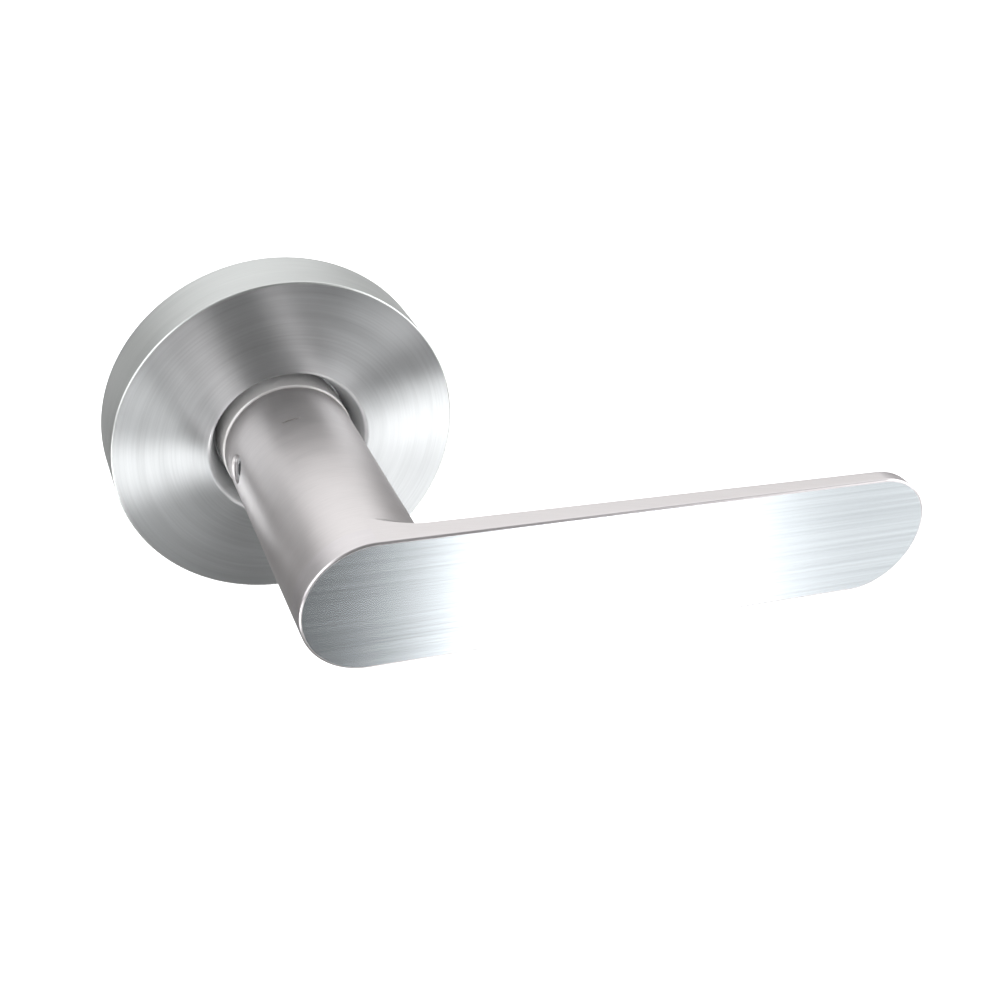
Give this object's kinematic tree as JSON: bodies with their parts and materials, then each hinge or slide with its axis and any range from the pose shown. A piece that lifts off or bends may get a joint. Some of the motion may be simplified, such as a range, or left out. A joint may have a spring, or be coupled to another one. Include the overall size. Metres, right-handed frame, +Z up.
{
  "type": "lever handle lockset trim",
  "caption": "Door lever with a straight round neck and a flat stadium-shaped blade on a round rose, sprung to level, with spindle and through-posts behind.",
  "frame": {"origin": "centre of the rose's back face, on the spindle axis, at the door's surface", "axes": "+X along the lever's blade from the spindle, +Y into the door, +Z up; the lever stands out of the door towards -Y"},
  "size_m": [0.1402, 0.1145, 0.065],
  "materials": {
    "lever_steel": "satin stainless steel, blade brushed along its length, neck brushed round and along",
    "rose_steel": "satin stainless steel, face brushed in circles round the hole",
    "hub_steel": "turned satin stainless steel",
    "screw_steel": "bright stainless grub screw",
    "spindle_steel": "bright drawn steel",
    "spring_steel": "oiled spring steel",
    "pressed_steel": "zinc plated pressed sheet",
    "cast_zinc": "die cast zinc, as cast",
    "bronze": "sintered bronze",
    "plated_steel": "bright zinc plate"
  },
  "bodies": {
    "rose": {"rose_cover": "rose_steel", "mounting_plate": "cast_zinc", "hub_bush": "bronze", "stop_pins": "spindle_steel", "mounting_posts": "plated_steel", "post_screws": "plated_steel", "spring_housing": "cast_zinc", "housing_screws": "plated_steel", "housing_lid": "pressed_steel", "lid_rivets": "plated_steel", "return_spring": "spring_steel", "cover_clips": "spring_steel", "clip_rivets": "plated_steel"},
    "lever": {"lever_handle": "lever_steel", "set_screw": "screw_steel", "drive_hub": "hub_steel", "spindle": "spindle_steel", "spindle_pin": "spring_steel", "spring_carrier": "pressed_steel", "retaining_ring": "spring_steel", "spring_washer": "spring_steel", "thrust_washer": "pressed_steel"}
  },
  "joints": [
    {"name": "lever_turn", "type": "hinge", "parent": "rose", "child": "lever", "pos_m": [0, 0, 0], "axis": [0, 1, 0], "range_deg": [-45, 45], "stiffness_Nm_per_rad": 0.67, "springref_deg": -3.27, "deforming": ["return_spring"]}
  ]
}
